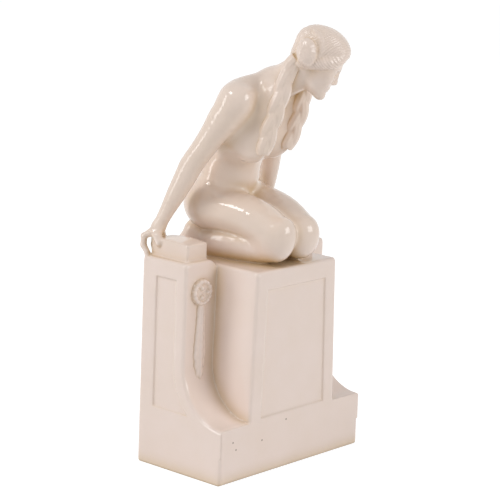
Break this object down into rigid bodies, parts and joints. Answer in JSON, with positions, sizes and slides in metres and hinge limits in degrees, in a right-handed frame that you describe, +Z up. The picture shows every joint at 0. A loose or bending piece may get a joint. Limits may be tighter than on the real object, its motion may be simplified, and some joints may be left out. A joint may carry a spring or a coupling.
{
  "type": "bather figurine",
  "caption": "Cream-glazed earthenware nude kneeling on a stepped plinth, hands behind her on its two raised piers, with coiled hair and plaits.",
  "frame": {"origin": "centre of the plinth's underside", "axes": "+Z up, -Y the way the figure faces, -X to her right"},
  "size_m": [0.155, 0.1223, 0.3282],
  "materials": {
    "cream_glaze": "gloss"
  },
  "bodies": {
    "root": {"bather_figurine": "cream_glaze"}
  },
  "joints": []
}
